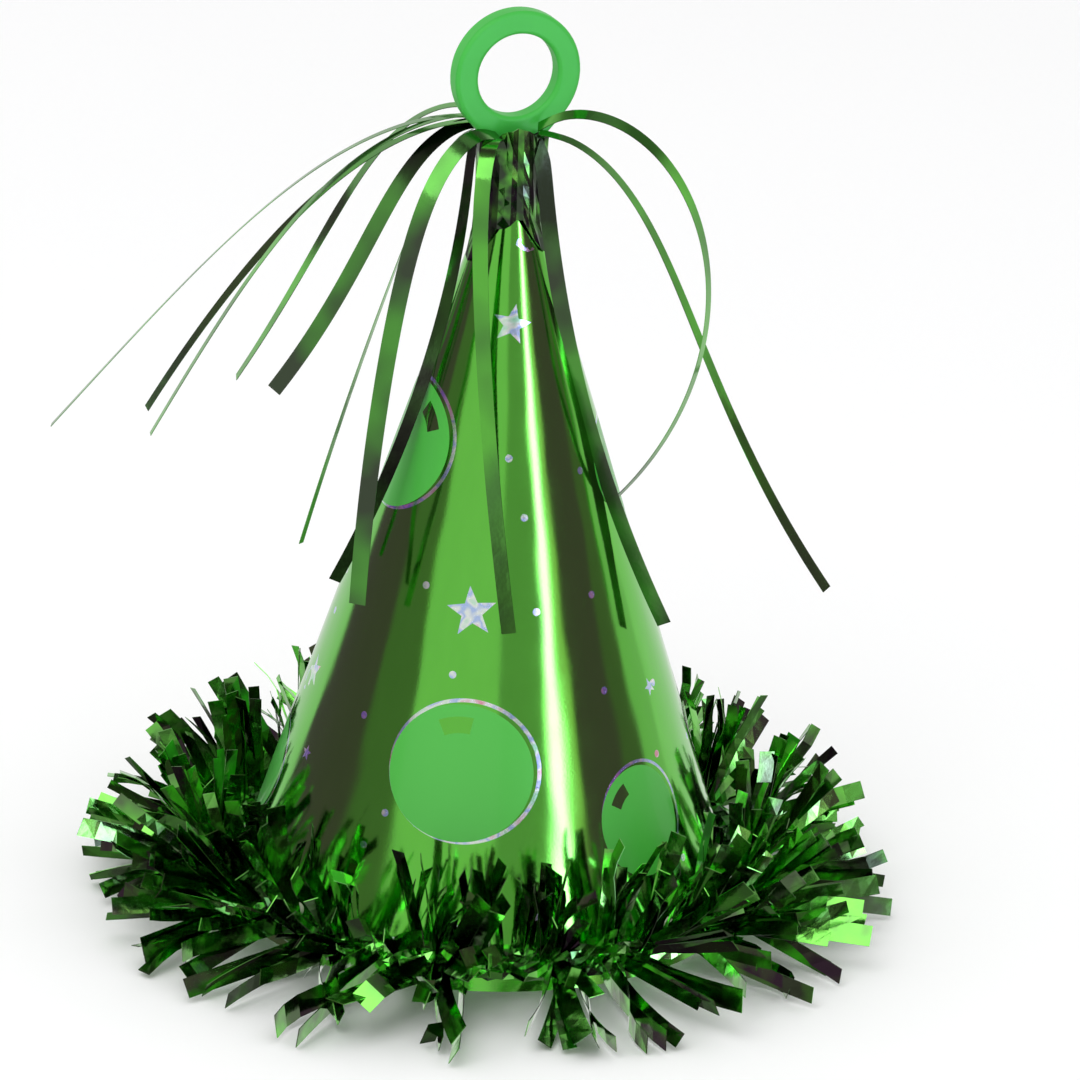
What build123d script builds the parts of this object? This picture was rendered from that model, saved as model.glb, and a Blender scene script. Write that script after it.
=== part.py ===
"""Small foil party hat that is a balloon weight and table decoration.

A printed foil-card cone stands on a weighted base. A plastic tie ring closes its tip, and the
ring's post runs down inside to a foot that is cast into the ballast. Foil streamers spring out of
a foil wrap round the neck, and a tinsel garland is glued round the foot.

Millimetres. The origin is the centre of the underside, +Z is up and the ring faces -Y.
"""

from build123d import *

import os
from math import atan2, cos, degrees, exp, radians, sin, tan
from random import Random

# Foil-card cone
cone_radius = 43.0
cone_height = 121.5
tip_radius = 4.3
card_thickness = 0.4
lap_width = 8.0

# Card disc that closes the foot
disc_thickness = 1.0
disc_clearance = 0.2

# Cup and ballast inside the foot
cup_clearance = 0.6
cup_wall = 0.8
cup_height = 18.0
ballast_height = 14.0
ballast_clearance = 0.1

# Foil wrap round the neck
wrap_length = 17.0
wrap_over_cone = 5.0
wrap_thickness = 0.35
wrap_cone_clearance = 0.3
wrap_blade_clearance = 1.6
wrap_streamer_room = 3.2

# Tie ring, with its blade, post and foot in one moulding
ring_outer_diameter = 21.8
ring_hole_diameter = 14.0
ring_centre_over_wrap = 10.3
ring_thickness = 3.5
ring_edge_round = 0.7
blade_width = 8.0
blade_flare_depth = 1.2
blade_tip_clearance = 0.5
post_diameter = 4.0
foot_diameter = 22.0
foot_thickness = 1.5
foot_height_in_ballast = 3.0

# Streamers
foil_thickness = 0.2
streamer_blade_gap = 0.35
streamer_rim_gap = 0.3
streamer_layer = 0.45
streamer_steps = 14

# Tinsel garland
core_height = 5.5
core_thickness = 5.2
core_cone_clearance = 0.3
wire_diameter = 1.0
wire_clearance = 0.05
bead_count = 8
bead_diameter = 2.6
bead_clearance = 0.15
bead_inset = 0.3  # of the core's thickness, in from the core's middle
bead_rise = 0.46  # of the core's thickness, up from the core's middle
tinsel_root_gap = 0.25
tinsel_width = 3.0
tinsel_sectors = 12
tinsel_per_sector = 4
tinsel_steps = 4
tinsel_heading_scatter = 0.8  # degrees
tinsel_rise_scatter = 3.0  # degrees
tinsel_shortest = 0.88
tinsel_longest = 1.04

# Streamers, by place round the neck, heading, width, tilt at the root, how much flatter than the
# cone's slope they settle, the length over which they bend, further curl per millimetre, length, and
# layer in the stack at the neck. Angles are in degrees, and tilts are above the horizontal.
STREAMERS = [
    (158, 158, 2.0, 10, 12, 24, 0.09, 92, 4),
    (150, 150, 1.8, 0, 15, 25, -0.08, 80, 3),
    (168, 168, 1.8, 12, -3, 24, 0.13, 79, 5),
    (143, 143, 2.0, 36, -7, 12, 0.29, 70, 6),
    (172, 172, 2.6, 10, -13, 10, 0.5, 58, 2),
    (200, 200, 2.8, 45, 3, 8, -0.2, 88, 1),
    (175, 175, 1.8, 24, 3, 5, -0.06, 79, 1),
    (163, 163, 2.2, 27, -7, 5, 0.13, 82, 0),
    (323, 323, 2.2, 45, 14, 20, -0.8, 88, 3),
    (330, 330, 1.8, 5, -15, 17, 0.35, 94, 1),
    (303, 300, 2.6, 38, -7, 6, 0.14, 84, 0),
    (200, 257, 2.6, 38, -9, 6, 0.2, 86, 0),
    (5, 40, 2.0, 30, -6, 9, 0.1, 80, 1),
    (45, 58, 2.4, 25, -7, 9, 0.12, 72, 0),
    (85, 78, 2.6, 25, -9, 9, 0.12, 84, 2),
    (115, 98, 2.2, 38, -4, 9, 0.08, 76, 7),
]

# Rows of tinsel round the core: direction above the horizontal, droop towards the tip, length.
TINSEL_ROWS = [
    (-6.0, 0.0, 22.0),
    (20.0, -14.0, 23.0),
    (48.0, -18.0, 24.0),
    (80.0, -12.0, 22.0),
]

half_angle = atan2(cone_radius - tip_radius, cone_height)
card_across = card_thickness / cos(half_angle)
wrap_bottom = cone_height - wrap_over_cone
wrap_top = wrap_bottom + wrap_length


def cone_outside(z):
    """Outer radius of the cone at height z."""
    return cone_radius - z * tan(half_angle)


def cone_inside(z):
    """Inner radius of the cone at height z."""
    return cone_outside(z) - card_across


def turned(*outline):
    """Solid turned about Z from an outline of (radius, height) points."""
    return revolve(Plane.XZ * make_face(Polyline(*outline, close=True)), Axis.Z)


def foil_cone():
    """Cone shell with its open foot on the table, and a lap of card down the back."""
    shell = turned(
        (cone_outside(0), 0),
        (cone_outside(cone_height), cone_height),
        (cone_inside(cone_height), cone_height),
        (cone_inside(0), 0),
    )
    lap_top = wrap_bottom - 1
    lap = turned(
        (cone_outside(0), 0),
        (cone_outside(0) + card_across, 0),
        (cone_outside(lap_top) + card_across, lap_top),
        (cone_outside(lap_top), lap_top),
    )
    back = Pos(0, cone_radius, lap_top / 2) * Box(lap_width, 2 * cone_radius, lap_top)
    return shell + (lap & back)


disc_radius = cone_inside(disc_thickness) - disc_clearance
cup_floor_top = disc_thickness + cup_wall
ballast_top = cup_floor_top + ballast_height
cup_across = cup_wall / cos(half_angle)


def cup_outside(z):
    """Outer radius of the ballast cup at height z."""
    return cone_inside(z) - cup_clearance


def cup_inside(z):
    """Inner radius of the ballast cup at height z."""
    return cup_outside(z) - cup_across


def base_disc():
    """Flat card disc inside the foot, level with the cone's edge."""
    return Pos(0, 0, disc_thickness / 2) * Cylinder(disc_radius, disc_thickness)


def ballast_cup():
    """Open cup that stands on the disc and follows the cone's inside."""
    cup_top = disc_thickness + cup_height
    return turned(
        (0, disc_thickness),
        (cup_outside(disc_thickness), disc_thickness),
        (cup_outside(cup_top), cup_top),
        (cup_inside(cup_top), cup_top),
        (cup_inside(cup_floor_top), cup_floor_top),
        (0, cup_floor_top),
    )


foot_bottom = cup_floor_top + foot_height_in_ballast
foot_top = foot_bottom + foot_thickness


def ballast():
    """Puck in the cup, cast round the ring's foot and post."""
    puck = turned(
        (0, cup_floor_top),
        (cup_inside(cup_floor_top) - ballast_clearance, cup_floor_top),
        (cup_inside(ballast_top) - ballast_clearance, ballast_top),
        (0, ballast_top),
    )
    cast_in = turned(
        (0, foot_bottom - ballast_clearance),
        (foot_diameter / 2 + ballast_clearance, foot_bottom - ballast_clearance),
        (foot_diameter / 2 + ballast_clearance, foot_top + ballast_clearance),
        (post_diameter / 2 + ballast_clearance, foot_top + ballast_clearance),
        (post_diameter / 2 + ballast_clearance, ballast_top),
        (0, ballast_top),
    )
    return puck - cast_in


ring_centre = wrap_top + ring_centre_over_wrap
blade_bottom = cone_height + blade_tip_clearance
blade_height = wrap_top - blade_bottom


def tie_ring():
    """Ring that tapers into a blade in the neck, with a round post down to a flat foot."""
    top_of_blade = Pos(0, wrap_top - blade_flare_depth) * Rectangle(blade_width, ring_edge_round)
    eye = Pos(0, ring_centre) * Circle(ring_outer_diameter / 2)
    outline = make_hull(eye.edges() + top_of_blade.edges())
    outline += Pos(0, blade_bottom + blade_height / 2) * Rectangle(blade_width, blade_height)
    plate = extrude(Plane.XZ * outline, ring_thickness / 2, both=True)
    hole = Rot(90, 0, 0) * Cylinder(ring_hole_diameter / 2, 2 * ring_thickness)
    plate -= Pos(0, 0, ring_centre) * hole
    rims = plate.faces().filter_by(Axis.Y).edges()
    plate = fillet(rims, ring_edge_round)
    post_height = blade_bottom + blade_height / 2 - foot_bottom
    post = Pos(0, 0, foot_bottom) * extrude(Circle(post_diameter / 2), post_height)
    foot = Pos(0, 0, foot_bottom) * extrude(Circle(foot_diameter / 2), foot_thickness)
    return plate + post + foot


wrap_foot = cone_outside(wrap_bottom) + wrap_cone_clearance
wrap_half_width = blade_width / 2 + wrap_blade_clearance
wrap_half_depth = ring_thickness / 2 + wrap_streamer_room


def neck_wrap():
    """Sleeve that goes from round, on the cone, to flat, round the ring's blade."""
    rings = []
    for grown in (wrap_thickness, 0):
        low = Pos(0, 0, wrap_bottom) * Circle(wrap_foot + grown)
        high = Pos(0, 0, wrap_top) * Ellipse(wrap_half_width + grown, wrap_half_depth + grown)
        rings.append(loft([low, high], ruled=True))
    outer, inner = rings
    return outer - inner


def strip(root, azimuth, tilt_at, length, width, steps):
    """Thin foil strip that leaves root towards azimuth and bends up or down as tilt_at(distance) says."""
    step = length / steps
    centres = [(0.0, 0.0)]
    normals = []
    for i in range(steps):
        tilt = radians(tilt_at(i * step + step / 2))
        x, z = centres[-1]
        centres.append((x + step * cos(tilt), z + step * sin(tilt)))
        normals.append((-sin(tilt), cos(tilt)))
    normals.append(normals[-1])
    half = foil_thickness / 2
    above = [(x + half * n, z + half * m) for (x, z), (n, m) in zip(centres, normals)]
    below = [(x - half * n, z - half * m) for (x, z), (n, m) in zip(centres, normals)]
    turn = radians(azimuth)
    plane = Plane(origin=root, x_dir=(cos(turn), sin(turn), 0), z_dir=(sin(turn), -cos(turn), 0))
    outline = make_face(Polyline(*above, *reversed(below), close=True))
    return extrude(plane * outline, width / 2, both=True)


def streamer(place, heading, width, root_tilt, flatter, bend, curl, length, layer):
    """Streamer that springs up beside the blade's face, out over the wrap's rim, and droops."""
    settled_tilt = degrees(half_angle) - 90 + flatter

    def tilt_at(distance):
        return settled_tilt + (root_tilt - settled_tilt) * exp(-distance / bend) + curl * distance

    side = 1 if sin(radians(place)) > 0 else -1
    half_width_towards_blade = width / 2 * abs(cos(radians(heading)))
    root = (
        blade_width / 2 * cos(radians(place)),
        side * (ring_thickness / 2 + streamer_blade_gap + half_width_towards_blade),
        wrap_top + streamer_rim_gap + foil_thickness / 2 + layer * streamer_layer,
    )
    return strip(root, heading, tilt_at, length, width, streamer_steps)


core_gap = card_across + core_cone_clearance
core_radius = cone_outside(core_height) + core_gap + core_thickness / 2 / cos(half_angle)


def garland_core():
    """Dense root of the garland, a ring round the foot of the cone with the wire down its middle."""
    ring = Torus(core_radius, core_thickness / 2) - Torus(core_radius, wire_diameter / 2 + wire_clearance)
    return Pos(0, 0, core_height) * ring


def garland_wire():
    """Wire ring that the tinsel is twisted on."""
    return Pos(0, 0, core_height) * Torus(core_radius, wire_diameter / 2)


def glue_beads():
    """Spots of hot-melt glue in the corner between the garland's core and the cone."""
    reach = core_thickness / 2 + bead_clearance
    bead_radius = core_radius - core_thickness * bead_inset
    bead_height = core_height + core_thickness * bead_rise
    clear_of_core = Pos(0, 0, core_height) * Torus(core_radius, reach)
    top = core_height + core_thickness + bead_diameter
    clear_of_cone = turned(
        (0, 0),
        (cone_outside(0) + bead_clearance, 0),
        (cone_outside(top) + bead_clearance, top),
        (0, top),
    )
    bead = Pos(bead_radius, 0, bead_height) * Sphere(bead_diameter / 2) - clear_of_core - clear_of_cone
    turns = [360 * (i + 0.5) / bead_count for i in range(bead_count)]
    return Compound(children=[Rot(0, 0, turn) * bead.solid() for turn in turns])


def tinsel_sector(sector):
    """One sector of tinsel: strips in rows that fan from flat on the table to up along the cone."""
    chance = Random(sector)
    count = tinsel_sectors * tinsel_per_sector
    strips = []
    for row, (rise, droop, length) in enumerate(TINSEL_ROWS):
        for i in range(tinsel_per_sector):
            place = sector * tinsel_per_sector + i + 0.5 * (row % 2)
            azimuth = 360 * place / count
            azimuth += chance.uniform(-tinsel_heading_scatter, tinsel_heading_scatter)
            up = rise + chance.uniform(-tinsel_rise_scatter, tinsel_rise_scatter)
            reach = core_thickness / 2 + tinsel_root_gap
            radius = core_radius + reach * cos(radians(up))
            root = (
                radius * cos(radians(azimuth)),
                radius * sin(radians(azimuth)),
                core_height + reach * sin(radians(up)),
            )
            long = length * chance.uniform(tinsel_shortest, tinsel_longest)
            strips.append(
                strip(
                    root,
                    azimuth,
                    lambda s, up=up, long=long: up + droop * s / long,
                    long,
                    tinsel_width,
                    tinsel_steps,
                )
            )
    return Compound(children=[one.solid() for one in strips])


nodes = {
    "foil_cone": foil_cone(),
    "base_disc": base_disc(),
    "ballast_cup": ballast_cup(),
    "ballast": ballast(),
    "tie_ring": tie_ring(),
    "neck_wrap": neck_wrap(),
    "garland_core": garland_core(),
    "garland_wire": garland_wire(),
    "glue_beads": glue_beads(),
}
for number, shape in enumerate(STREAMERS, start=1):
    nodes[f"streamer_{number:02d}"] = streamer(*shape)
for sector in range(tinsel_sectors):
    nodes[f"garland_strips_{sector + 1:02d}"] = tinsel_sector(sector)

os.makedirs("parts", exist_ok=True)
for name, shape in nodes.items():
    export_step(shape, f"parts/{name}.step")
print("overall", Compound(children=[s for n in nodes.values() for s in n.solids()]).bounding_box().size)
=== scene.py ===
"""Looks of a small foil party hat that is a balloon weight and table decoration.

The printed foil cone, the crumpled wrap at its neck, the streamers and the tinsel garland are modelled
here and stand for their CAD solids. The ring, the disc, the cup, the ballast, the wire and the glue are
the CAD nodes with better finishes. Metres, +Z up, and the ring faces -Y.
"""

from math import atan2, cos, degrees, exp, pi, radians, sin, tan
from random import Random

import bpy
from mathutils import Euler, Matrix, Vector


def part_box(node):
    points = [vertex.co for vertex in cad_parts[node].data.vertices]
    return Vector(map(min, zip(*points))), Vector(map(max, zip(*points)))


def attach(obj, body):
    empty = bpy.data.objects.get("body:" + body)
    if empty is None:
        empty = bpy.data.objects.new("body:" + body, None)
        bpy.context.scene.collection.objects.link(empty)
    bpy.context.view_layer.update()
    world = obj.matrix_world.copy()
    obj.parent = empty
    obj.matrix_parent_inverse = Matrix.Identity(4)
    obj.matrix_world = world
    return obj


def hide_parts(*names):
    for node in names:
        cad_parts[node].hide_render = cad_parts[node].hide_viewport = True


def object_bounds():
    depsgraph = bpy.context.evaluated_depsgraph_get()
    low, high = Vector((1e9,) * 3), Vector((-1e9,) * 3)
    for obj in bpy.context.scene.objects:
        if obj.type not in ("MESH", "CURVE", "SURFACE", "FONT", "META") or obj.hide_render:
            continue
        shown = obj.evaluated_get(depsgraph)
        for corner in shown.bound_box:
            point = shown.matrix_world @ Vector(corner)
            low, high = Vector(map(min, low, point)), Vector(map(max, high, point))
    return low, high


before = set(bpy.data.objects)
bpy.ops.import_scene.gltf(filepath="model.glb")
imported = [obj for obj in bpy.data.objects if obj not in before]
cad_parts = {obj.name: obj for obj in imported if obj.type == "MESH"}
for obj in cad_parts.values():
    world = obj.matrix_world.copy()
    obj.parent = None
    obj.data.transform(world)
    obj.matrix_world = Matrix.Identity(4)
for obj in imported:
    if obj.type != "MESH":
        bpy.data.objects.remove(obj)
cad_low, cad_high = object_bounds()
mm = 0.001

# Camera
camera_azimuth = radians(-22.8)
camera_elevation = radians(20.55)
camera_roll = radians(2.42)
camera_distance = 1.3456
camera_aside = 0.0072
camera_height = 0.0631
camera_lens = 270.5
camera_sensor = 36.0

# Cone of printed foil card
_, cone_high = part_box("foil_cone")
cone_radius = cone_high.x
cone_height = cone_high.z
tip_radius = 4.3 * mm
card_thickness = 0.4 * mm
lap_width = 8.0 * mm
lap_thickness = 0.3 * mm
lap_gap = 0.05 * mm
half_angle = atan2(cone_radius - tip_radius, cone_height)
apex_height = cone_radius / tan(half_angle)

# Streamers
foil_thickness = 0.12 * mm
wrap_low, wrap_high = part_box("neck_wrap")
ring_thickness = 3.5 * mm
blade_width = 8.0 * mm
streamer_rim_gap = 0.4 * mm
streamer_blade_gap = 0.35 * mm
streamer_layer = 0.45 * mm
wrap_pleats = 34

# Garland
core_low, core_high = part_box("garland_core")
core_height = (core_low.z + core_high.z) / 2
core_thickness = core_high.z - core_low.z
core_radius = core_high.x - core_thickness / 2
sectors = 12

# Tufts that rise less than this many degrees are longer by this share towards the front
front_rise = 15
front_reach = 0.3
front_heading = camera_azimuth - pi / 2


# ---------------------------------------------------------------- finishes


class Field:
    """The output of a node, on which sums, products and comparisons add Math nodes."""

    def __init__(self, finish, socket):
        self.finish = finish
        self.socket = socket

    def math(self, operation, *others):
        return self.finish.node("Math", {"operation": operation}, dict(enumerate((self, *others))))

    def from_number(self, operation, number):
        return self.finish.node("Math", {"operation": operation}, {0: number, 1: self})

    def __add__(self, other):
        return self.math("ADD", other)

    __radd__ = __add__

    def __mul__(self, other):
        return self.math("MULTIPLY", other)

    __rmul__ = __mul__

    def __sub__(self, other):
        return self.math("SUBTRACT", other)

    def __rsub__(self, number):
        return self.from_number("SUBTRACT", number)

    def __neg__(self):
        return self.math("MULTIPLY", -1.0)

    def __lt__(self, other):
        return self.math("LESS_THAN", other)

    def __gt__(self, other):
        return self.math("GREATER_THAN", other)

    def __abs__(self):
        return self.math("ABSOLUTE")

    def either(self, other):
        return self.math("MAXIMUM", other)


class Finish:
    """A node tree whose nodes are added by type, settings and the values or links of their sockets."""

    def __init__(self, owner):
        owner.use_nodes = True
        self.owner = owner
        self.tree = owner.node_tree
        self.tree.nodes.clear()

    def node(self, kind, settings=(), sockets=(), output=0):
        node = self.tree.nodes.new("ShaderNode" + kind)
        for name, value in dict(settings).items():
            if name == "stops":
                self.set_stops(node.color_ramp, value)
            else:
                setattr(node, name, value)
        for name, value in dict(sockets).items():
            if isinstance(value, Field):
                self.tree.links.new(value.socket, node.inputs[name])
            else:
                node.inputs[name].default_value = value
        return Field(self, node.outputs[output])

    @staticmethod
    def set_stops(ramp, stops):
        while len(ramp.elements) < len(stops):
            ramp.elements.new(1.0)
        for element, (place, colour) in zip(ramp.elements, stops):
            element.position = place
            element.color = (*colour, 1.0)

    def place(self):
        """Object coordinates, which are the hat's own because every piece sits at the origin."""
        return self.node("TexCoord", output="Object")

    def split(self, vector):
        """The three parts of a vector."""
        node = self.node("SeparateXYZ", sockets={"Vector": vector}).socket.node
        return [Field(self, socket) for socket in node.outputs]

    def stretched(self, vector, scale):
        return self.node("Mapping", sockets={"Vector": vector, "Scale": scale})

    def noise(self, vector, scale, detail=3.0, roughness=0.5):
        sockets = {"Vector": vector, "Scale": scale, "Detail": detail, "Roughness": roughness}
        return self.node("TexNoise", sockets=sockets, output="Fac")

    def between(self, share, low, high):
        """A number that goes from low to high with share."""
        return self.node("MapRange", sockets={"Value": share, "To Min": low, "To Max": high})

    def mixed(self, share, first, second):
        """A colour between first and second, which are colours or links."""
        opaque = [c if isinstance(c, Field) else (*c, 1.0) for c in (first, second)]
        sockets = {0: share, 6: opaque[0], 7: opaque[1]}
        return self.node("Mix", {"data_type": "RGBA"}, sockets, output=2)

    def bump(self, height, strength, distance, normal=None):
        sockets = {"Height": height, "Strength": strength, "Distance": distance}
        if normal:
            sockets["Normal"] = normal
        return self.node("Bump", sockets=sockets)

    def surface(self, **sockets):
        """Ends the material in a Principled BSDF with these sockets, such as Base_Color."""
        named = {name.replace("_", " "): value for name, value in sockets.items()}
        shader = self.node("BsdfPrincipled", sockets=named)
        self.node_output(shader)
        return self.owner

    def node_output(self, shader, kind="OutputMaterial"):
        output = self.tree.nodes.new("ShaderNode" + kind)
        self.tree.links.new(shader.socket, output.inputs["Surface"])


def new_finish(name):
    return Finish(bpy.data.materials.new(name))


foil_green = (0.14, 0.56, 0.06)
# The darker green of the cone's vertical streaks, which are painted reflection
painted_streak_green = (0.07, 0.36, 0.03)
print_green = (0.055, 0.44, 0.042)

# Dots and squiggles scattered over the card: cells per metre, and sizes as shares of a cell
confetti_scale = 72.0
dot_reach = 0.045
squiggle_reach = 0.12
squiggle_width = 0.044

# Balloons printed on the cone: angle round from -Y in degrees, height, half width and half height in
# millimetres, and the direction of the highlight from its middle in degrees.
BALLOONS = [
    (-30.5, 33.8, 12.2, 11.3, 8),
    (-91.0, 82.0, 11.0, 11.0, -40),
    (24.5, 23.6, 8.6, 9.2, 40),
    (64.0, 77.0, 8.0, 8.4, 30),
    (100.0, 32.0, 12.2, 11.3, 8),
    (152.0, 70.0, 9.5, 9.8, 35),
    (-160.0, 30.0, 9.0, 9.4, -30),
    (-112.0, 22.0, 8.2, 8.6, 30),
]

# Stars printed on the cone: angle, height, radius in millimetres, and turn in degrees.
STARS = [
    (-31.0, 59.0, 4.3, 8),
    (-16.0, 104.0, 3.4, -12),
    (-101.0, 40.5, 3.0, 20),
    (-86.0, 29.5, 1.4, 0),
    (41.0, 43.0, 1.6, 15),
    (84.0, 56.0, 4.0, -10),
    (133.0, 44.0, 3.4, 25),
    (178.0, 52.0, 4.2, 5),
    (-135.0, 58.0, 3.8, -18),
    (120.0, 96.0, 3.0, 10),
]


def on_the_flat(angle, height):
    """Centre and turn of a print on the card laid flat, with the cone's point at the origin."""
    slant = (apex_height - height * mm) / cos(half_angle)
    turn = radians(angle) * sin(half_angle)
    return slant * sin(turn), -slant * cos(turn), turn


def motif(finish, flat, angle, height, half_width, half_height, turn=0.0, aside=0.0, up=0.0):
    """Coordinates of the flat card about a print's own centre, in its half width and half height."""
    x, y, lean = on_the_flat(angle, height)
    x += aside * cos(lean) - up * sin(lean)
    y += aside * sin(lean) + up * cos(lean)
    sockets = {
        "Vector": flat,
        "Location": (x, y, 0),
        "Rotation": (0, 0, lean + turn),
        "Scale": (half_width, half_height, 1),
    }
    return finish.node("Mapping", {"vector_type": "TEXTURE"}, sockets)


def length_of(finish, vector):
    return finish.node("VectorMath", {"operation": "LENGTH"}, {0: vector}, output="Value")


def balloon_print(finish, flat, angle, height, half_width, half_height, highlight):
    """Masks of a balloon's solid colour, with a highlight left bare, and of its silver outline."""
    size = (half_width * mm, half_height * mm)
    own = motif(finish, flat, angle, height, *size)
    reach = length_of(finish, own)
    across, along, _ = finish.split(own)
    facing = (across.math("ARCTAN2", along) + radians(highlight)).math("WRAP", pi, -pi)
    shine = (abs(reach - 0.7) < 0.12) * (abs(facing) < 0.3)
    outlined = motif(finish, flat, angle, height, *size, aside=0.6 * mm, up=0.35 * mm)
    outline = abs(length_of(finish, outlined) - 1.03) < 0.028
    solid = (reach < 1.0) * (1 - shine)
    return solid, outline * (reach > 1.0)


def star_print(finish, flat, angle, height, radius, turn):
    """Mask of a five-pointed star."""
    own = motif(finish, flat, angle, height, radius * mm, radius * mm, radians(turn))
    across, along, _ = finish.split(own)
    folded = abs(across.math("ARCTAN2", along).math("WRAP", pi / 5, -pi / 5))
    inner = 0.42
    slope = (1 / inner - cos(pi / 5)) / sin(pi / 5)
    edge = folded.math("COSINE") + folded.math("SINE") * slope
    return length_of(finish, own) * edge < 1.0


def printed_card():
    """Mirror-green foil card with flat green balloons and holographic stars, dots and squiggles, over
    vertical streaks of painted reflection.
    """
    finish = new_finish("printed_foil_card")
    place = finish.place()
    x, y, z = finish.split(place)
    round_angle = x.math("ARCTAN2", -y) * sin(half_angle)
    slant = (apex_height - z) * (1 / cos(half_angle))
    sockets = {"X": slant * round_angle.math("SINE"), "Y": -(slant * round_angle.math("COSINE"))}
    flat = finish.node("CombineXYZ", sockets=sockets)

    solid, silver = balloon_print(finish, flat, *BALLOONS[0])
    for shape in BALLOONS[1:]:
        more_solid, more_silver = balloon_print(finish, flat, *shape)
        solid = solid.either(more_solid)
        silver = silver.either(more_silver)
    for shape in STARS:
        silver = silver.either(star_print(finish, flat, *shape))

    cells = {"feature": "F1", "voronoi_dimensions": "2D"}
    spread = {"Vector": flat, "Scale": confetti_scale, "Randomness": 0.9}
    confetti = finish.node("TexVoronoi", cells, spread)
    pick, which, _ = finish.split(finish.node("TexVoronoi", cells, spread, "Color"))
    dots = (confetti < dot_reach) * (pick > 0.5)
    wobble = finish.noise(flat, 420.0, 1.0)
    curl = abs(confetti - squiggle_reach - (wobble - 0.5) * 0.12) < squiggle_width / 2
    squiggles = curl * (pick < 0.2) * (which > 0.35) * (wobble > 0.47)
    silver = silver.either((dots + squiggles) * (1 - solid))

    sheen = finish.noise(flat, 260.0, 2.0)
    rainbow = finish.node(
        "ValToRGB",
        {
            "stops": [
                (0.30, (0.75, 0.35, 0.42)),
                (0.42, (0.80, 0.82, 0.84)),
                (0.50, (0.42, 0.55, 0.85)),
                (0.58, (0.80, 0.86, 0.80)),
                (0.68, (0.45, 0.80, 0.55)),
            ]
        },
        {"Fac": sheen},
    )
    # Painted reflection: vertical streaks of darker green that stand in for the bands the foil mirrors
    painted_reflection_streaks = finish.noise(finish.stretched(place, (1.0, 1.0, 0.12)), 420.0, 2.0)
    foil_with_painted_streaks = finish.mixed(0.75, finish.mixed(painted_reflection_streaks, painted_streak_green, foil_green), foil_green)
    colour = finish.mixed(solid, foil_with_painted_streaks, print_green)
    colour = finish.mixed(silver, colour, rainbow)

    grain = finish.noise(place, 2600.0, 2.0)
    waves = finish.noise(finish.stretched(place, (1.0, 1.0, 0.35)), 55.0, 2.0)
    relief = finish.bump(grain, 0.05, 0.1 * mm)
    relief = finish.bump(waves, 0.5, 1.0 * mm, relief)
    worn = finish.noise(place, 180.0, 4.0)
    roughness = finish.between(worn, 0.05, 0.16) * (1 - solid) + solid * 0.38 + silver * 0.12
    return finish.surface(
        Base_Color=colour,
        Metallic=1 - solid,
        Roughness=roughness,
        Normal=relief,
        Coat_Weight=0.35,
        Coat_Roughness=0.05,
    )


def foil(name, light, painted_dark_reflection, crease, roughness, painted_dark_share=0.5, patch_scale=130.0):
    """Thin crumpled metallised film with small creases, and patches of painted dark reflection where the
    colour turns darker.
    """
    finish = new_finish(name)
    place = finish.place()
    # Painted dark reflection: noise patches where the colour turns to the darker tone
    painted_dark_patches = finish.noise(place, patch_scale, 2.0)
    share = finish.node(
        "MapRange",
        sockets={"Value": painted_dark_patches, "From Min": painted_dark_share - 0.12, "From Max": painted_dark_share + 0.12},
    )
    colour = finish.mixed(share, painted_dark_reflection, light)
    fine = finish.noise(place, 1500.0, 2.0)
    crumples = finish.node("TexVoronoi", {"feature": "F1"}, {"Vector": place, "Scale": 300.0})
    relief = finish.bump(fine, 0.08, 0.1 * mm)
    relief = finish.bump(crumples, crease, 0.5 * mm, relief)
    return finish.surface(
        Base_Color=colour,
        Metallic=1.0,
        Roughness=finish.between(fine, roughness * 0.7, roughness * 1.4),
        Normal=relief,
    )


def ring_plastic():
    """Satin green moulded plastic, faintly mottled, with the fine skin of a moulding."""
    finish = new_finish("ring_plastic")
    place = finish.place()
    mottle = finish.noise(place, 160.0, 4.0, 0.6)
    colour = finish.mixed(mottle, (0.038, 0.41, 0.045), (0.052, 0.49, 0.060))
    skin = finish.noise(place, 2400.0, 3.0)
    return finish.surface(
        Base_Color=colour,
        Roughness=finish.between(skin, 0.36, 0.5),
        Normal=finish.bump(skin, 0.12, 0.05 * mm),
        Specular_IOR_Level=0.4,
    )


def card_stock():
    """Grey-white card with short fibres."""
    finish = new_finish("card_stock")
    place = finish.place()
    fibres = finish.noise(finish.stretched(place, (1.0, 4.0, 1.0)), 900.0, 4.0, 0.6)
    cloud = finish.noise(place, 60.0, 2.0)
    colour = finish.mixed(fibres, (0.52, 0.49, 0.43), (0.78, 0.75, 0.69))
    colour = finish.mixed(cloud * 0.4, colour, (0.62, 0.58, 0.50))
    return finish.surface(
        Base_Color=colour,
        Roughness=finish.between(fibres, 0.8, 0.95),
        Normal=finish.bump(fibres, 0.25, 0.05 * mm),
    )


def cup_plastic():
    """Thin vacuum-formed white plastic with faint draw marks."""
    finish = new_finish("cup_plastic")
    place = finish.place()
    draw = finish.noise(finish.stretched(place, (1.0, 1.0, 0.1)), 500.0, 2.0)
    colour = finish.mixed(draw, (0.72, 0.73, 0.72), (0.84, 0.85, 0.84))
    return finish.surface(
        Base_Color=colour,
        Roughness=finish.between(draw, 0.3, 0.5),
        Normal=finish.bump(draw, 0.1, 0.05 * mm),
    )


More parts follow.
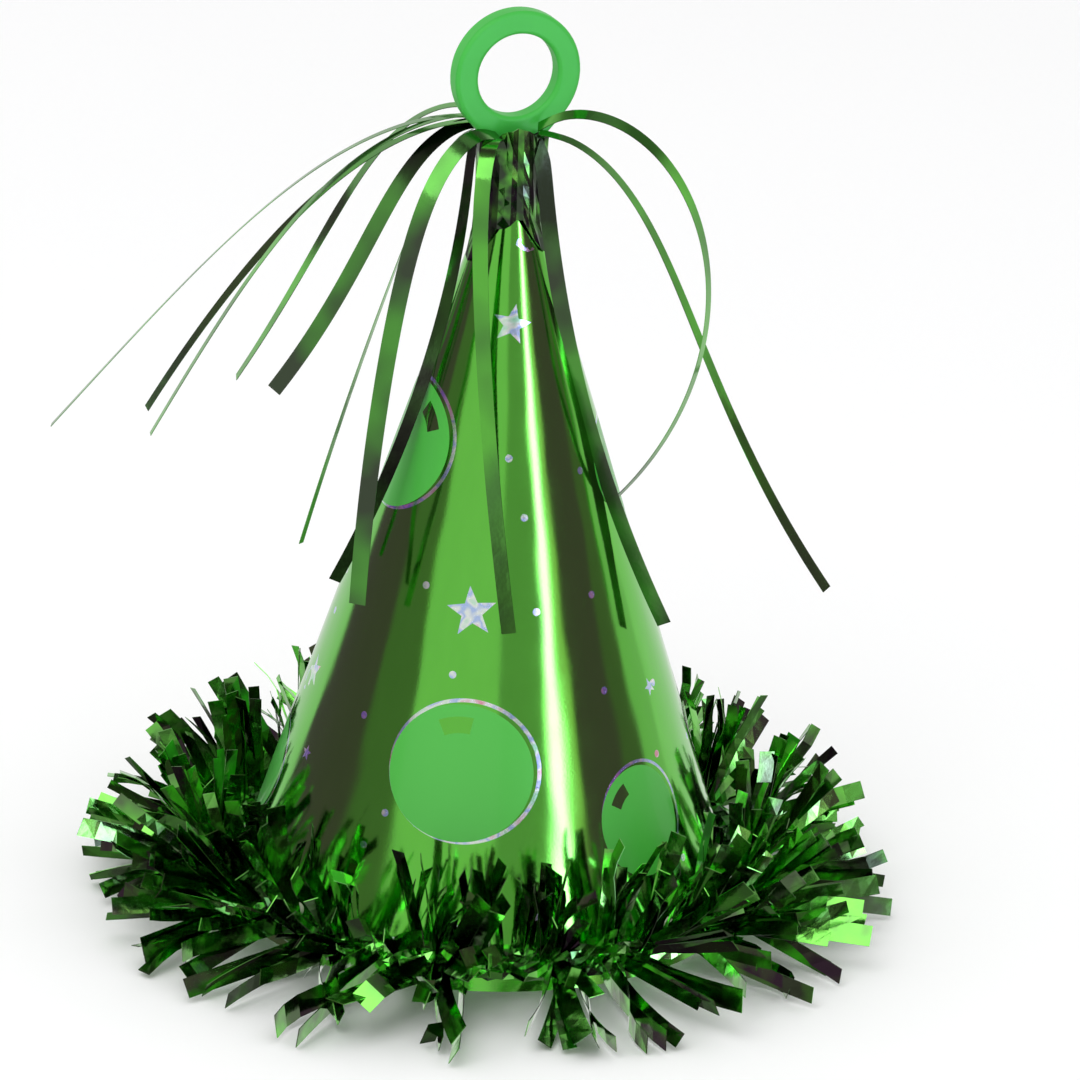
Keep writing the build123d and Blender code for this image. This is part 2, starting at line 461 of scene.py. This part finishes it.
def plaster():
    """Cast plaster with air holes, painted dark inside as shade, and a dusty skin."""
    finish = new_finish("cast_plaster")
    place = finish.place()
    cloud = finish.noise(place, 220.0, 5.0, 0.65)
    shaded_air_holes = finish.node("TexVoronoi", {"feature": "F1"}, {"Vector": place, "Scale": 700.0}) < 0.16
    colour = finish.mixed(cloud, (0.62, 0.60, 0.56), (0.82, 0.81, 0.78))
    # Painted shade: the air holes are coloured dark
    colour = finish.mixed(shaded_air_holes, colour, (0.34, 0.33, 0.31))
    return finish.surface(
        Base_Color=colour,
        Roughness=finish.between(cloud, 0.85, 1.0),
        Normal=finish.bump(cloud - shaded_air_holes, 0.4, 0.1 * mm),
    )


def steel_wire():
    """Drawn steel wire with fine lines."""
    finish = new_finish("steel_wire")
    place = finish.place()
    lines = finish.noise(finish.stretched(place, (1.0, 1.0, 12.0)), 900.0, 2.0)
    colour = finish.mixed(lines, (0.38, 0.38, 0.38), (0.62, 0.62, 0.61))
    return finish.surface(
        Base_Color=colour,
        Metallic=1.0,
        Roughness=finish.between(lines, 0.25, 0.45),
        Normal=finish.bump(lines, 0.15, 0.02 * mm),
    )


def hot_glue():
    """Cloudy set glue."""
    finish = new_finish("hot_glue")
    place = finish.place()
    cloud = finish.noise(place, 600.0, 3.0)
    colour = finish.mixed(cloud, (0.66, 0.64, 0.52), (0.82, 0.80, 0.70))
    return finish.surface(
        Base_Color=colour,
        Roughness=finish.between(cloud, 0.18, 0.35),
        Normal=finish.bump(cloud, 0.2, 0.1 * mm),
    )


# ---------------------------------------------------------------- modelling


def deselect():
    if bpy.context.object and bpy.context.object.mode != "OBJECT":
        bpy.ops.object.mode_set(mode="OBJECT")
    bpy.ops.object.select_all(action="DESELECT")


def made(name, finish):
    """The object just added, named and painted, with its place moved into its mesh."""
    piece = bpy.context.object
    piece.name = name
    piece.data.name = name
    bpy.ops.object.transform_apply(location=True, rotation=True, scale=True)
    piece.data.materials.clear()
    piece.data.materials.append(finish)
    return piece


def select_parts(piece, kind, wanted):
    """Selects the vertices, edges or polygons for which wanted(part) is true, and enters edit mode."""
    bpy.context.view_layer.objects.active = piece
    mesh = piece.data
    bpy.ops.object.mode_set(mode="EDIT")
    bpy.ops.mesh.select_mode(type={"vertices": "VERT", "edges": "EDGE", "polygons": "FACE"}[kind])
    bpy.ops.mesh.select_all(action="DESELECT")
    bpy.ops.object.mode_set(mode="OBJECT")
    for part in getattr(mesh, kind):
        part.select = wanted(part)
    bpy.ops.object.mode_set(mode="EDIT")


def edge_reach(mesh, edge):
    """How far an edge goes along each axis."""
    first, second = (mesh.vertices[i].co for i in edge.vertices)
    return Vector(map(abs, first - second))


def cut_into_rings(piece, cuts):
    """Cuts the edges that run up a shell, so that the shell gets rings."""
    mesh = piece.data
    select_parts(piece, "edges", lambda edge: edge_reach(mesh, edge).z > 1e-5)
    bpy.ops.mesh.subdivide(number_cuts=cuts)
    bpy.ops.object.mode_set(mode="OBJECT")


def modify(piece, kind, **settings):
    """Adds a modifier and applies it."""
    bpy.context.view_layer.objects.active = piece
    modifier = piece.modifiers.new(kind.lower(), kind)
    for name, value in settings.items():
        setattr(modifier, name, value)
    bpy.ops.object.modifier_apply(modifier=modifier.name)


def select_only(piece):
    deselect()
    piece.select_set(True)
    bpy.context.view_layer.objects.active = piece


def smooth(piece, angle=30.0):
    select_only(piece)
    bpy.ops.object.shade_smooth_by_angle(angle=radians(angle))


def flat_shaded(piece):
    select_only(piece)
    bpy.ops.object.shade_flat()


def joined(pieces, name):
    """One object from several, with the first one's material."""
    deselect()
    for piece in pieces:
        piece.select_set(True)
    bpy.context.view_layer.objects.active = pieces[0]
    bpy.ops.object.join()
    pieces[0].name = name
    pieces[0].data.name = name
    return pieces[0]


def hat_piece(piece, slot, *nodes):
    """Makes a finished piece part of the hat, in place of its CAD nodes."""
    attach(piece, "root")
    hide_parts(*nodes)


def card_shell(radius, top_radius, height, cuts, name, finish):
    """An open cone of card with its foot on the table."""
    deselect()
    bpy.ops.mesh.primitive_cone_add(
        vertices=240,
        radius1=radius,
        radius2=top_radius,
        depth=height,
        end_fill_type="NOTHING",
        location=(0, 0, height / 2),
    )
    piece = made(name, finish)
    cut_into_rings(piece, cuts)
    return piece


def cone_piece(finish):
    """The rolled card: a shell with gentle dents, and the lap of card down its back."""
    shell = card_shell(cone_radius, tip_radius, cone_height, 40, "party_cone", finish)
    dents = bpy.data.textures.new("card_dents", "CLOUDS")
    dents.noise_scale = 0.03
    modify(shell, "DISPLACE", texture=dents, strength=0.35 * mm, mid_level=0.6)
    modify(shell, "SOLIDIFY", thickness=card_thickness, offset=-1)

    lap_top = wrap_low.z - 1 * mm
    lap_foot_radius = cone_radius + lap_gap
    lap_top_radius = lap_foot_radius - lap_top * tan(half_angle)
    lap = card_shell(lap_foot_radius, lap_top_radius, lap_top, 20, "card_lap", finish)
    planes = [
        ((lap_width / 2, 0, 0), (1, 0, 0)),
        ((-lap_width / 2, 0, 0), (-1, 0, 0)),
        ((0, 1 * mm, 0), (0, -1, 0)),
    ]
    for point, normal in planes:
        select_parts(lap, "polygons", lambda face: True)
        bpy.ops.mesh.bisect(plane_co=point, plane_no=normal, clear_outer=True)
        bpy.ops.object.mode_set(mode="OBJECT")
    modify(lap, "SOLIDIFY", thickness=lap_thickness, offset=1)
    cone = joined([shell, lap], "party_cone")
    smooth(cone)
    hat_piece(cone, "cone_card", "foil_cone")


# Streamers, one for each of the CAD's, though some hang differently: place round the neck, heading, width
# in millimetres, tilt at the root, how much flatter than the cone's slope they settle, the length over
# which they bend, further curl per millimetre, length and layer at the neck. Then the twist at the root,
# the middle and the tip, how far the tip drifts aside in millimetres, and whether the strip gets the darker
# copy of the streamer foil, which is painted shade.
STREAMERS = [
    (158, 160, 2.0, 8, 14, 24, 0.07, 92, 4, 0, 10, 5, 0, False),
    (150, 155, 1.8, 0, 20, 20, -0.12, 79, 3, 0, -30, -25, 0, False),
    (168, 168, 1.8, 6, -3, 26, 0.13, 80, 5, 0, 0, 5, 0, False),
    (143, 144, 2.0, 26, -7, 13, 0.28, 70, 6, 0, -40, -20, 0, False),
    (172, 172, 2.6, 8, -12, 10, 0.54, 58, 2, -20, -65, -50, 0, True),
    (200, 200, 2.8, 43, 0, 9, -0.17, 88, 1, -20, -45, -30, 0, True),
    (175, 176, 1.8, 12, 4, 4, -0.08, 78, 1, 20, 35, 40, 0, False),
    (163, 180, 2.2, 0, -17, 1.6, 0.51, 78, 0, -10, -40, -30, -13.8, True),
    (323, 318, 2.2, 45, 9, 23, -0.78, 90, 3, 30, 0, 10, 0, False),
    (330, 328, 1.8, 3, -15, 16, 0.36, 93, 1, 10, 25, 40, 0, False),
    (303, 300, 2.6, 15, -12, 1.6, 0.26, 85, 0, 30, 75, 80, -6.8, True),
    (200, 233, 2.6, 50, -23, 7, 0.23, 86, 0, 0, 6, 14, -10.4, False),
    (5, 62, 2.0, 5, -8, 6, 0.1, 80, 1, 0, 30, 50, 0, False),
    (45, 58, 2.4, 25, -7, 9, 0.12, 72, 0, 0, 40, 10, 0, True),
    (85, 76, 2.6, 15, -8, 7, 0.12, 84, 2, 0, -30, 10, 0, False),
    (115, 72, 2.2, 5, -8, 6, 0.1, 76, 4, 0, 40, 70, 0, False),
]


def streamer_piece(number, shape):
    """A ribbon of foil on a curve that springs up beside the ring's blade, turns over and hangs."""
    place, heading, width, root_tilt, flatter, bend, curl, length, layer, *twists, drift, gets_painted_shade = shape
    place, heading = radians(place), radians(heading)
    settled = degrees(half_angle) - 90 + flatter
    points = 26
    step = length * mm / (points - 1)
    x = y = 0.0
    path = [(x, y)]
    for i in range(points - 1):
        distance = (i + 0.5) * step / mm
        tilt = radians(settled + (root_tilt - settled) * exp(-distance / bend) + curl * distance)
        x += step * cos(tilt)
        y += step * sin(tilt)
        path.append((x, y))

    deselect()
    bpy.ops.curve.primitive_nurbs_path_add()
    ribbon = bpy.context.object
    curve = ribbon.data
    curve.twist_mode = "Z_UP"
    curve.extrude = width * mm / 2
    curve.resolution_u = 3
    curve.bevel_depth = 0
    spline = curve.splines[0]
    spline.points.add(points - len(spline.points))
    spline.order_u = 3
    spline.use_endpoint_u = True
    root_twist, middle_twist, tip_twist = twists
    for i, (point, (x, y)) in enumerate(zip(spline.points, path)):
        along = i / (points - 1)
        twist = root_twist + (middle_twist - root_twist) * min(1, 2 * along)
        twist += (tip_twist - middle_twist) * max(0, 2 * along - 1)
        point.co = (x, y, drift * mm * along**2, 1)
        point.tilt = radians(twist)
    bpy.ops.object.convert(target="MESH")
    ribbon = bpy.context.object

    side = 1 if sin(place) > 0 else -1
    towards_blade = width * mm / 2 * abs(cos(heading))
    root = Vector(
        (
            blade_width / 2 * cos(place),
            side * (ring_thickness / 2 + streamer_blade_gap + towards_blade),
            wrap_high.z + streamer_rim_gap + layer * streamer_layer,
        )
    )
    upright = Euler((pi / 2, 0, heading)).to_matrix().to_4x4()
    ribbon.matrix_world = Matrix.Translation(root) @ upright
    # Some strips get the darker copy of the streamer foil: painted shade
    piece = made(f"foil_streamer_{number:02d}", painted_shade_streamer_foil if gets_painted_shade else streamer_foil)
    modify(piece, "SOLIDIFY", thickness=foil_thickness, offset=0)
    smooth(piece, 40)
    hat_piece(piece, "streamer_foil", f"streamer_{number:02d}")


# The wrap's edges: angle round the neck from +X in degrees, with how far the lower edge hangs below its
# line, or how far the upper edge is raised, in millimetres. Each eases away over the degrees beside it.
WRAP_HANGS = [
    (178, 4.2),
    (200, 2.6),
    (222, -1.5),
    (243, -3.2),
    (262, -4.8),
    (280, -1.6),
    (310, 2.2),
    (338, 3.0),
    (20, 1.2),
]
WRAP_RAISED = [(232, 1.6), (250, 2.2), (268, 2.3), (286, 1.8)]
wrap_easing = 12


def edge_shape(shape, turn):
    """Height of an edge at an angle, from the points of its shape that are near it."""
    height = weight = 0.0
    for angle, rise in shape:
        apart = abs((turn - angle + 180) % 360 - 180)
        near = exp(-((apart / wrap_easing) ** 2))
        height += near * rise
        weight += near
    return height / max(weight, 1.0)


def wrap_piece(finish):
    """Foil gathered tight round the neck in uneven pleats, torn below, with its upper edge raised at the
    front.
    """
    deselect()
    height = wrap_high.z - wrap_low.z
    bpy.ops.mesh.primitive_cylinder_add(
        vertices=wrap_pleats,
        radius=wrap_high.x - 0.4 * mm,
        depth=height,
        end_fill_type="NOTHING",
        location=(0, 0, wrap_low.z + height / 2),
    )
    piece = made("foil_wrap", finish)
    cut_into_rings(piece, 7)
    chance = Random(4)
    pleats = [chance.uniform(-0.7, 0.15) * mm for _ in range(wrap_pleats)]
    for vertex in piece.data.vertices:
        x, y, z = vertex.co
        up = (z - wrap_low.z) / height
        turn = atan2(y, x)
        flattened = 1 - 0.16 * up * abs(sin(turn))
        pleat = pleats[round(turn / (2 * pi) * wrap_pleats) % wrap_pleats]
        ragged = chance.uniform(-0.6, 0.6) * mm if up < 0.01 else chance.uniform(-0.35, 0.35) * mm
        hang = edge_shape(WRAP_HANGS, degrees(turn)) * (1 - up) ** 1.5 * mm
        raised = edge_shape(WRAP_RAISED, degrees(turn)) * up**8 * mm
        z = min(z + ragged, wrap_high.z) - hang + raised
        grow = 1 + (pleat + chance.uniform(-0.25, 0.1) * mm) / wrap_high.x
        clear = cone_radius - z * tan(half_angle) + 0.35 * mm if z < cone_height else 0.0
        radius = max(Vector((x, y)).length * flattened * grow, clear)
        vertex.co = (radius * cos(turn), radius * sin(turn), z)
    modify(piece, "SOLIDIFY", thickness=0.2 * mm, offset=-1)
    flat_shaded(piece)
    hat_piece(piece, "wrap_foil", "neck_wrap")


# Master strips of tinsel: length and width in millimetres, bend and twist in degrees over the length,
# where the tip is folded as a share of the length, and by how much.
TINSEL = [
    (22.0, 2.8, 8, 6, 1.0, 0),
    (21.5, 2.4, -14, 18, 1.0, 0),
    (22.5, 3.2, 20, -10, 1.0, 0),
    (21.0, 2.6, 4, 28, 1.0, 0),
    (22.0, 3.0, -22, 0, 0.78, -35),
    (21.0, 2.2, 32, -30, 1.0, 0),
    (19.0, 3.3, 12, 12, 0.8, 60),
    (22.0, 2.6, -6, -22, 1.0, 0),
    (20.0, 2.8, 48, 25, 1.0, 0),
]


def tinsel_strip(number, finish, length, width, bend, twist, fold_at, fold):
    """A flat strip along +X from the origin, twisted, bent and perhaps folded at its tip."""
    deselect()
    bpy.ops.mesh.primitive_plane_add(size=1, rotation=(pi / 2, 0, 0))
    strip = bpy.context.object
    strip.scale = (length * mm, width * mm, 1)
    strip.location = (length * mm / 2, 0, 0)
    strip = made(f"tinsel_master_{number}", finish)
    mesh = strip.data
    select_parts(strip, "edges", lambda edge: edge_reach(mesh, edge).x > 1e-6)
    bpy.ops.mesh.subdivide(number_cuts=6)
    bpy.ops.object.mode_set(mode="OBJECT")
    if fold:
        line = fold_at * length * mm
        select_parts(strip, "vertices", lambda vertex: vertex.co.x > line)
        bpy.ops.transform.rotate(value=radians(fold), orient_axis="Z", center_override=(line, 0, 0))
        bpy.ops.object.mode_set(mode="OBJECT")
    modify(strip, "SIMPLE_DEFORM", deform_method="TWIST", deform_axis="X", angle=radians(twist))
    modify(strip, "SIMPLE_DEFORM", deform_method="BEND", deform_axis="Z", angle=radians(bend))
    modify(strip, "SOLIDIFY", thickness=foil_thickness, offset=0)
    return strip


# Tufts in each sector: direction above the horizontal in degrees, scatter of it, how many tufts, how
# many strips in each, and their length as a share of the master's.
TUFTS = [
    (-9, 3, 2, 3, 1.0),
    (4, 6, 2, 3, 1.0),
    (20, 7, 2, 3, 1.0),
    (38, 8, 2, 3, 0.98),
    (56, 8, 2, 4, 0.97),
    (76, 7, 2, 4, 0.97),
    (92, 3, 2, 3, 0.8),
    (30, 45, 5, 3, 0.5),
]


def settled_on_table(strip, root, heading, up, roll, size):
    """The place of a strip that leaves root towards heading, raised until it clears the table."""
    lowest = -1.0
    while lowest < 0.2 * mm:
        turn = Matrix.Rotation(heading, 4, "Z") @ Matrix.Rotation(-up, 4, "Y") @ Matrix.Rotation(roll, 4, "X")
        pose = Matrix.Translation(root) @ turn @ Matrix.Scale(size, 4)
        lowest = min((pose @ vertex.co).z for vertex in strip.data.vertices)
        up += radians(2)
    return pose


def garland_piece(sector, masters, finish):
    """One sector of the garland: tufts of strips that fan from flat on the table to up along the cone."""
    chance = Random(100 + sector)
    strips = []
    for rise, scatter, tufts, per_tuft, share in TUFTS:
        for tuft in range(tufts):
            heading = 2 * pi / sectors * (sector + (tuft + chance.uniform(0, 1)) / tufts)
            lean = radians(chance.gauss(0, 11))
            tuft_up = rise + chance.uniform(-scatter, scatter)
            tuft_roll = chance.uniform(-60, 60)
            for _ in range(per_tuft):
                place = heading + radians(chance.uniform(-2.6, 2.6))
                up = radians(tuft_up + chance.uniform(-5, 5))
                roll = radians(tuft_roll + chance.uniform(-25, 25))
                size = share * chance.uniform(0.8, 1.05)
                if rise < front_rise:
                    size *= 1 + front_reach * max(0.0, cos(place - front_heading)) ** 2
                start = core_thickness / 2 * chance.uniform(0.2, 0.9)
                radius = core_radius + start * cos(up)
                root = Vector((radius * cos(place), radius * sin(place), core_height + start * sin(up)))
                strip = masters[chance.randrange(len(masters))].copy()
                strip.data = strip.data.copy()
                bpy.context.scene.collection.objects.link(strip)
                heading_out = place + lean + radians(chance.uniform(-4, 4))
                strip.data.transform(settled_on_table(strip, root, heading_out, up, roll, size))
                strips.append(strip)
    piece = joined(strips, f"garland_sector_{sector + 1:02d}")
    flat_shaded(piece)
    hat_piece(piece, "tinsel_foil", f"garland_strips_{sector + 1:02d}")


def core_piece(finish):
    """The dense twisted middle of the garland, all small bright facets."""
    deselect()
    bpy.ops.mesh.primitive_torus_add(
        major_segments=150,
        minor_segments=12,
        major_radius=core_radius,
        minor_radius=core_thickness / 2 * 0.92,
        location=(0, 0, core_height),
    )
    piece = made("garland_twist", finish)
    select_parts(piece, "vertices", lambda vertex: True)
    bpy.ops.transform.vertex_random(offset=0.55 * mm, uniform=0.6, normal=0.4, seed=7)
    bpy.ops.object.mode_set(mode="OBJECT")
    flat_shaded(piece)
    hat_piece(piece, "core_foil", "garland_core")


# ---------------------------------------------------------------- the hat

printed_foil = printed_card()
# The second colour of each foil is the painted dark reflection of its patches
streamer_foil = foil("streamer_foil", (0.14, 0.52, 0.07), (0.09, 0.26, 0.06), 0.06, 0.14, 0.5, 60.0)
# A darker copy of the streamer foil, for painted shade on some strips
painted_shade_streamer_foil = foil(
    "painted_shade_streamer_foil", (0.10, 0.34, 0.06), (0.06, 0.08, 0.05), 0.06, 0.14, 0.55, 60.0
)
wrap_foil = foil("wrap_foil", (0.12, 0.42, 0.06), (0.05, 0.07, 0.045), 0.12, 0.12, 0.58, 260.0)
tinsel_foil = foil("tinsel_foil", (0.18, 0.60, 0.09), (0.12, 0.18, 0.09), 0.10, 0.13)
core_foil = foil("core_foil", (0.20, 0.60, 0.12), (0.06, 0.16, 0.05), 0.30, 0.10)

cone_piece(printed_foil)
wrap_piece(wrap_foil)
for number, shape in enumerate(STREAMERS, start=1):
    streamer_piece(number, shape)
masters = [tinsel_strip(i, tinsel_foil, *shape) for i, shape in enumerate(TINSEL)]
for sector in range(sectors):
    garland_piece(sector, masters, tinsel_foil)
for master in masters:
    bpy.data.objects.remove(master)
core_piece(core_foil)

CAD_FINISHES = {
    "tie_ring": ring_plastic(),
    "base_disc": card_stock(),
    "ballast_cup": cup_plastic(),
    "ballast": plaster(),
    "garland_wire": steel_wire(),
    "glue_beads": hot_glue(),
}
for node, finish in CAD_FINISHES.items():
    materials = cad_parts[node].data.materials
    materials.clear()
    materials.append(finish)

# ---------------------------------------------------------------- table, light and camera


def studio():
    """A soft white room. What mirrors see of it is pale panels and dark gaps, round from the camera."""
    world = bpy.data.worlds.new("studio")
    bpy.context.scene.world = world
    world.cycles.sampling_method = "NONE"
    finish = Finish(world)
    direction = finish.node("TexCoord", output="Generated")
    x, y, z = finish.split(direction)
    towards_camera = camera_azimuth - pi / 2
    turned = (y.math("ARCTAN2", x) - towards_camera).math("WRAP", pi, -pi)
    share = turned * (1 / (2 * pi)) + 0.5
    # Panels round from behind the hat: where each begins in degrees from the camera, and its colour.
    # The gaps are tinted against green, so that green foil reflects them as a neutral dark.
    gap = (0.24, 0.09, 0.27)
    panels = [
        (-180, (0.9, 0.9, 0.9)),
        (-125, gap),
        (-78, (0.28, 0.22, 0.26)),
        (-50, (0.85, 0.85, 0.85)),
        (8, (0.48, 0.48, 0.48)),
        (34.5, (2.0, 2.0, 2.4)),
        (37.5, (8.0, 8.0, 13.0)),
        (44.5, (2.0, 2.0, 2.4)),
        (47, (1.2, 0.9, 0.9)),
        (53, gap),
        (84, (0.26, 0.17, 0.24)),
        (99, (0.75, 0.75, 0.75)),
        (118, (0.95, 0.95, 0.95)),
    ]
    edge = 0.004
    strongest = 20.0
    stops = []
    for i, (begins, colour) in enumerate(panels):
        place = (begins + 180) / 360
        if i:
            stops.append((place - edge, [part / strongest for part in panels[i - 1][1]]))
        stops.append((place + (edge if i else 0), [part / strongest for part in colour]))
    bands = finish.node("ValToRGB", {"stops": stops}, {"Fac": share})
    # Brightness of the room from straight below to straight above.
    levels = [
        (0.0, 0.30),
        (0.16, 0.16),
        (0.28, 0.22),
        (0.34, 0.9),
        (0.66, 1.0),
        (0.72, 0.26),
        (0.82, 0.24),
        (0.88, 0.6),
        (1.0, 0.6),
    ]
    greys = [(place, (level, level, level)) for place, level in levels]
    height = finish.node("ValToRGB", {"stops": greys}, {"Fac": z.math("ARCSINE") * (1 / pi) + 0.5})
    multiplied = {"data_type": "RGBA", "blend_type": "MULTIPLY"}
    mirrored = finish.node("Mix", multiplied, {0: 1.0, 6: bands, 7: height}, output=2)
    ray = finish.tree.nodes.new("ShaderNodeLightPath")
    to_mirror = Field(finish, ray.outputs["Is Glossy Ray"])
    to_camera = Field(finish, ray.outputs["Is Camera Ray"])
    seen = finish.node("Background", sockets={"Color": mirrored, "Strength": strongest})
    soft = finish.node("Background", sockets={"Color": (1, 1, 1, 1), "Strength": 0.95})
    pale = finish.node("Background", sockets={"Color": (1, 1, 1, 1), "Strength": 1.0})
    room = finish.node("MixShader", sockets={0: to_mirror, 1: soft, 2: seen})
    room = finish.node("MixShader", sockets={0: to_camera, 1: room, 2: pale})
    finish.node_output(room, "OutputWorld")


def floor():
    deselect()
    bpy.ops.mesh.primitive_plane_add(size=12.0, location=(0, 0, cad_low.z - 0.1 * mm))
    finish = new_finish("pale_table")
    place = finish.place()
    cloud = finish.noise(place, 3.0, 2.0)
    colour = finish.mixed(cloud, (0.93, 0.93, 0.93), (0.95, 0.95, 0.95))
    table = made("table", finish.surface(Base_Color=colour, Roughness=finish.between(cloud, 0.9, 0.95)))
    table.visible_glossy = False


def lamp():
    deselect()
    bpy.ops.object.light_add(type="AREA", location=(-0.5, -0.5, 1.0))
    soft_box = bpy.context.object
    soft_box.data.shape = "DISK"
    soft_box.data.size = 0.9
    soft_box.data.energy = 4.0
    soft_box.rotation_euler = (-soft_box.location).to_track_quat("-Z", "Y").to_euler()


def camera():
    deselect()
    back = Vector(
        (
            sin(camera_azimuth) * cos(camera_elevation),
            -cos(camera_azimuth) * cos(camera_elevation),
            sin(camera_elevation),
        )
    )
    aside = Vector((cos(camera_azimuth), sin(camera_azimuth), 0)) * camera_aside
    target = aside + Vector((0, 0, camera_height))
    bpy.ops.object.camera_add(location=target + back * camera_distance)
    view = bpy.context.object
    tilt = Matrix.Rotation(pi / 2 - camera_elevation, 4, "X")
    turn = Matrix.Rotation(camera_azimuth, 4, "Z") @ tilt @ Matrix.Rotation(camera_roll, 4, "Z")
    view.rotation_euler = turn.to_euler()
    view.data.lens = camera_lens
    view.data.sensor_width = camera_sensor
    view.data.clip_start = 0.05
    view.data.clip_end = 30.0
    bpy.context.scene.camera = view


studio()
floor()
lamp()
camera()
bpy.context.scene.view_settings.view_transform = "Standard"
bpy.context.view_layer.update()
